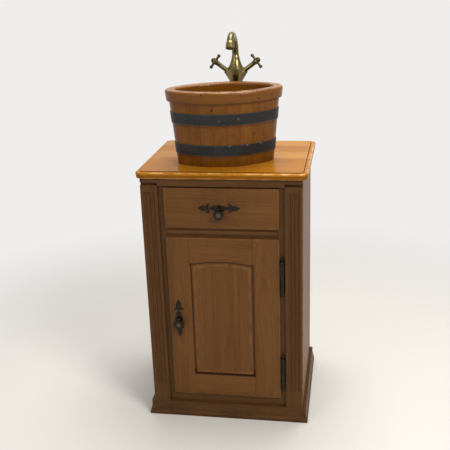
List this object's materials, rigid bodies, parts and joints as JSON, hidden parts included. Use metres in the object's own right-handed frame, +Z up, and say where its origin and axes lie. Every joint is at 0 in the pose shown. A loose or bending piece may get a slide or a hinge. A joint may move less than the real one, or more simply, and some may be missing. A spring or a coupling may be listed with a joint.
{
  "type": "washstand",
  "caption": "Oak washstand with a drawer, an arched-panel door, an oval staved tub basin with iron hoops and a tall antique brass mixer tap.",
  "frame": {"origin": "on the floor, under the middle of the whole piece's box", "axes": "+Z up, the door and the drawer face -Y, +X to the right of someone facing them"},
  "size_m": [0.508, 0.4246, 1.1795],
  "materials": {
    "oak": "satin varnished brown oak",
    "oak_dark": "satin varnished darker oak",
    "oak_honey": "glossy honey oak varnish",
    "drawer_wood": "plain planed oak",
    "tub_wood": "glossy orange-brown lacquer",
    "hoop_iron": "dark forged iron strap",
    "old_brass": "antique brass, dark in hollows",
    "dark_metal": "near-black antique",
    "trap_plastic": "white plastic",
    "pipe_copper": "bare copper pipe"
  },
  "bodies": {
    "cabinet": {"worktop": "oak_honey", "frieze_rail": "oak_dark", "side_panel_left": "oak", "side_panel_right": "oak", "back_panel": "oak_dark", "bottom_board": "oak", "corner_stile_left": "oak", "corner_stile_right": "oak", "drawer_rail": "oak_dark", "bottom_rail": "oak_dark", "plinth_front": "oak_dark", "plinth_left": "oak_dark", "plinth_right": "oak_dark", "drawer_runner_left": "oak_dark", "drawer_runner_right": "oak_dark", "hinge_upper_frame_half": "dark_metal", "hinge_lower_frame_half": "dark_metal", "basin_staves": "tub_wood", "basin_rim": "tub_wood", "basin_floor": "tub_wood", "basin_hoop_upper": "hoop_iron", "basin_hoop_lower": "hoop_iron", "basin_waste": "old_brass", "waste_trap": "trap_plastic", "waste_pipe": "trap_plastic", "tap_body": "old_brass", "tap_spout": "old_brass", "supply_pipe_left": "pipe_copper", "supply_pipe_right": "pipe_copper", "tap_fixing": "old_brass"},
    "drawer": {"drawer_front": "oak", "drawer_side_left": "drawer_wood", "drawer_side_right": "drawer_wood", "drawer_back": "drawer_wood", "drawer_bottom": "drawer_wood", "drawer_pull_plate": "dark_metal"},
    "door": {"door_stile_left": "oak", "door_stile_right": "oak", "door_top_rail": "oak", "door_bottom_rail": "oak", "door_panel": "oak", "door_pull_plate": "dark_metal", "hinge_upper_door_half": "dark_metal", "hinge_lower_door_half": "dark_metal"},
    "drawer_drop": {"drawer_pull_drop": "dark_metal"},
    "door_drop": {"door_pull_drop": "dark_metal"},
    "handle_left": {"tap_handle_left": "old_brass"},
    "handle_right": {"tap_handle_right": "old_brass"}
  },
  "joints": [
    {"name": "drawer_slide", "type": "slide", "parent": "cabinet", "child": "drawer", "axis": [0, -1, 0], "range_m": [0, 0.085]},
    {"name": "door_hinge", "type": "hinge", "parent": "cabinet", "child": "door", "pos_m": [0.1775, -0.1957, 0.492], "axis": [0, 0, 1], "range_deg": [0, 110]},
    {"name": "drawer_drop_swing", "type": "hinge", "parent": "drawer", "child": "drawer_drop", "pos_m": [-0.005, -0.2088, 0.704], "axis": [-1, 0, 0], "range_deg": [0, 75]},
    {"name": "door_drop_swing", "type": "hinge", "parent": "door", "child": "door_drop", "pos_m": [-0.142, -0.2088, 0.345], "axis": [-1, 0, 0], "range_deg": [0, 75]},
    {"name": "left_valve", "type": "hinge", "parent": "cabinet", "child": "handle_left", "pos_m": [-0.0515, 0.1323, 1.07733], "axis": [-0.7986, 0, 0.6018], "range_deg": [0, 90]},
    {"name": "right_valve", "type": "hinge", "parent": "cabinet", "child": "handle_right", "pos_m": [0.0635, 0.1323, 1.07733], "axis": [0.7986, 0, 0.6018], "range_deg": [0, 90]}
  ]
}
